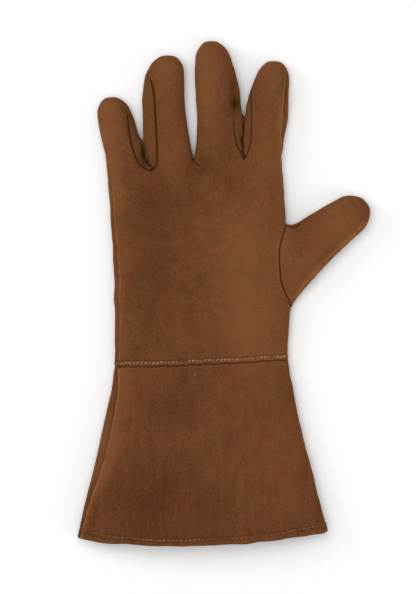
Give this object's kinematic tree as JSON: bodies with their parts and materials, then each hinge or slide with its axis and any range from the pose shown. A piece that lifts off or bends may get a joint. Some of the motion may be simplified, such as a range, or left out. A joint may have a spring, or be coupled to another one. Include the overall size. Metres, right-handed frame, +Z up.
{
  "type": "costume glove",
  "caption": "Gauntlet glove for the left hand in brown faux suede: back and palm with fingers, fourchettes, set-in thumb and a flared, hemmed cuff.",
  "frame": {"origin": "on the surface that the glove lies on, under the middle of its outline", "axes": "+Y from the cuff's hem towards the fingertips, +X towards the thumb, +Z up, out of the back of the hand"},
  "size_m": [0.1898, 0.3282, 0.0211],
  "materials": {
    "suede_back": "napped, matt",
    "suede_palm": "napped, matt",
    "suede_fourchette": "napped, matt",
    "suede_cuff": "napped, matt"
  },
  "bodies": {
    "root": {"hand_back": "suede_back", "hand_palm": "suede_palm", "fourchette_little_right": "suede_fourchette", "fourchette_ring_left": "suede_fourchette", "fourchette_ring_right": "suede_fourchette", "fourchette_middle_left": "suede_fourchette", "fourchette_middle_right": "suede_fourchette", "fourchette_index_left": "suede_fourchette", "thumb": "suede_back", "cuff_back": "suede_cuff", "cuff_palm": "suede_cuff"}
  },
  "joints": []
}
